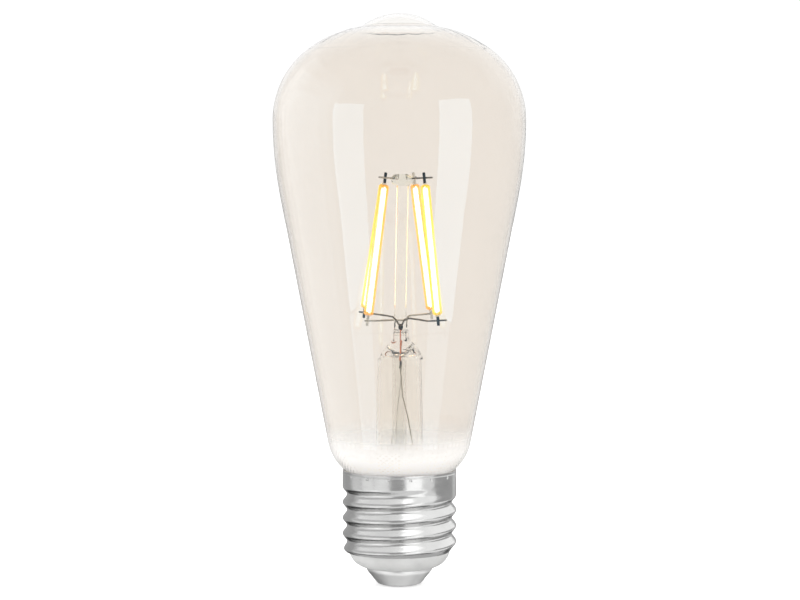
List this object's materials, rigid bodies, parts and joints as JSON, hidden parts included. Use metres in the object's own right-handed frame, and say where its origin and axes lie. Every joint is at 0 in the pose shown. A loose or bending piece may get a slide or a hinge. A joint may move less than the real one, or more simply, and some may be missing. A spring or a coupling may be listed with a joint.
{
  "type": "smart light bulb",
  "caption": "Clear pear-shaped LED filament lamp on a screw cap, with a glass stem, straight filaments, a white-coated neck and a radio driver in the cap.",
  "frame": {"origin": "centre of the flat end of the centre contact, the lamp's lowest point with the cap down", "axes": "+Z along the lamp's axis from the contact to the tip of the glass; -Y towards the two front filaments; +X to the right seen from the front"},
  "size_m": [0.058, 0.058, 0.1314],
  "materials": {
    "clear_glass": "polished",
    "stem_glass": "polished",
    "neck_white": "satin",
    "bright_nickel": "polished",
    "satin_nickel": "satin",
    "insulator_plastic": "matte",
    "cement": "matte",
    "phosphor": "satin",
    "white_ceramic": "satin",
    "led_chip": "polished",
    "mount_wire": "satin",
    "lamp_tab": "satin",
    "copper_clad": "satin",
    "lead_wire": "satin",
    "board_green": "gloss",
    "board_black": "gloss",
    "gold_copper": "satin",
    "shield_tin": "satin",
    "capacitor_sleeve": "gloss",
    "ferrite": "matte",
    "winding_copper": "gloss",
    "black_epoxy": "matte",
    "resistor_body": "gloss",
    "liner_film": "matte",
    "wire_red": "satin",
    "wire_white": "satin",
    "solder": "satin"
  },
  "bodies": {
    "root": {"bridge_rectifier": "black_epoxy", "bulk_capacitor": "capacitor_sleeve", "cap_cement": "cement", "cap_insulator": "insulator_plastic", "centre_contact": "satin_nickel", "contact_solder": "solder", "driver_board": "board_green", "driver_chip": "black_epoxy", "dumet_lead_back": "copper_clad", "dumet_lead_front": "copper_clad", "exhaust_tube": "stem_glass", "filament_back_left_bottom_tab": "lamp_tab", "filament_back_left_chips": "led_chip", "filament_back_left_coat": "phosphor", "filament_back_left_substrate": "white_ceramic", "filament_back_left_top_tab": "lamp_tab", "filament_back_right_bottom_tab": "lamp_tab", "filament_back_right_chips": "led_chip", "filament_back_right_coat": "phosphor", "filament_back_right_substrate": "white_ceramic", "filament_back_right_top_tab": "lamp_tab", "filament_front_left_bottom_tab": "lamp_tab", "filament_front_left_chips": "led_chip", "filament_front_left_coat": "phosphor", "filament_front_left_substrate": "white_ceramic", "filament_front_left_top_tab": "lamp_tab", "filament_front_right_bottom_tab": "lamp_tab", "filament_front_right_chips": "led_chip", "filament_front_right_coat": "phosphor", "filament_front_right_substrate": "white_ceramic", "filament_front_right_top_tab": "lamp_tab", "fusible_resistor": "resistor_body", "glass_envelope": "clear_glass", "inductor_core": "ferrite", "inductor_winding": "winding_copper", "insulating_liner": "liner_film", "lead_knot_back": "mount_wire", "lead_knot_front": "mount_wire", "live_wire": "wire_red", "lower_wire_back_left": "mount_wire", "lower_wire_back_right": "mount_wire", "lower_wire_front_left": "mount_wire", "lower_wire_front_right": "mount_wire", "module_pins": "gold_copper", "neutral_wire": "wire_white", "outer_lead_back": "lead_wire", "outer_lead_front": "lead_wire", "rod_button": "stem_glass", "screw_shell": "bright_nickel", "stem_flare": "stem_glass", "support_rod": "stem_glass", "top_wire_left": "mount_wire", "top_wire_right": "mount_wire", "white_neck_coating": "neck_white", "wifi_antenna": "gold_copper", "wifi_module_board": "board_black", "wifi_shield_can": "shield_tin"}
  },
  "joints": []
}
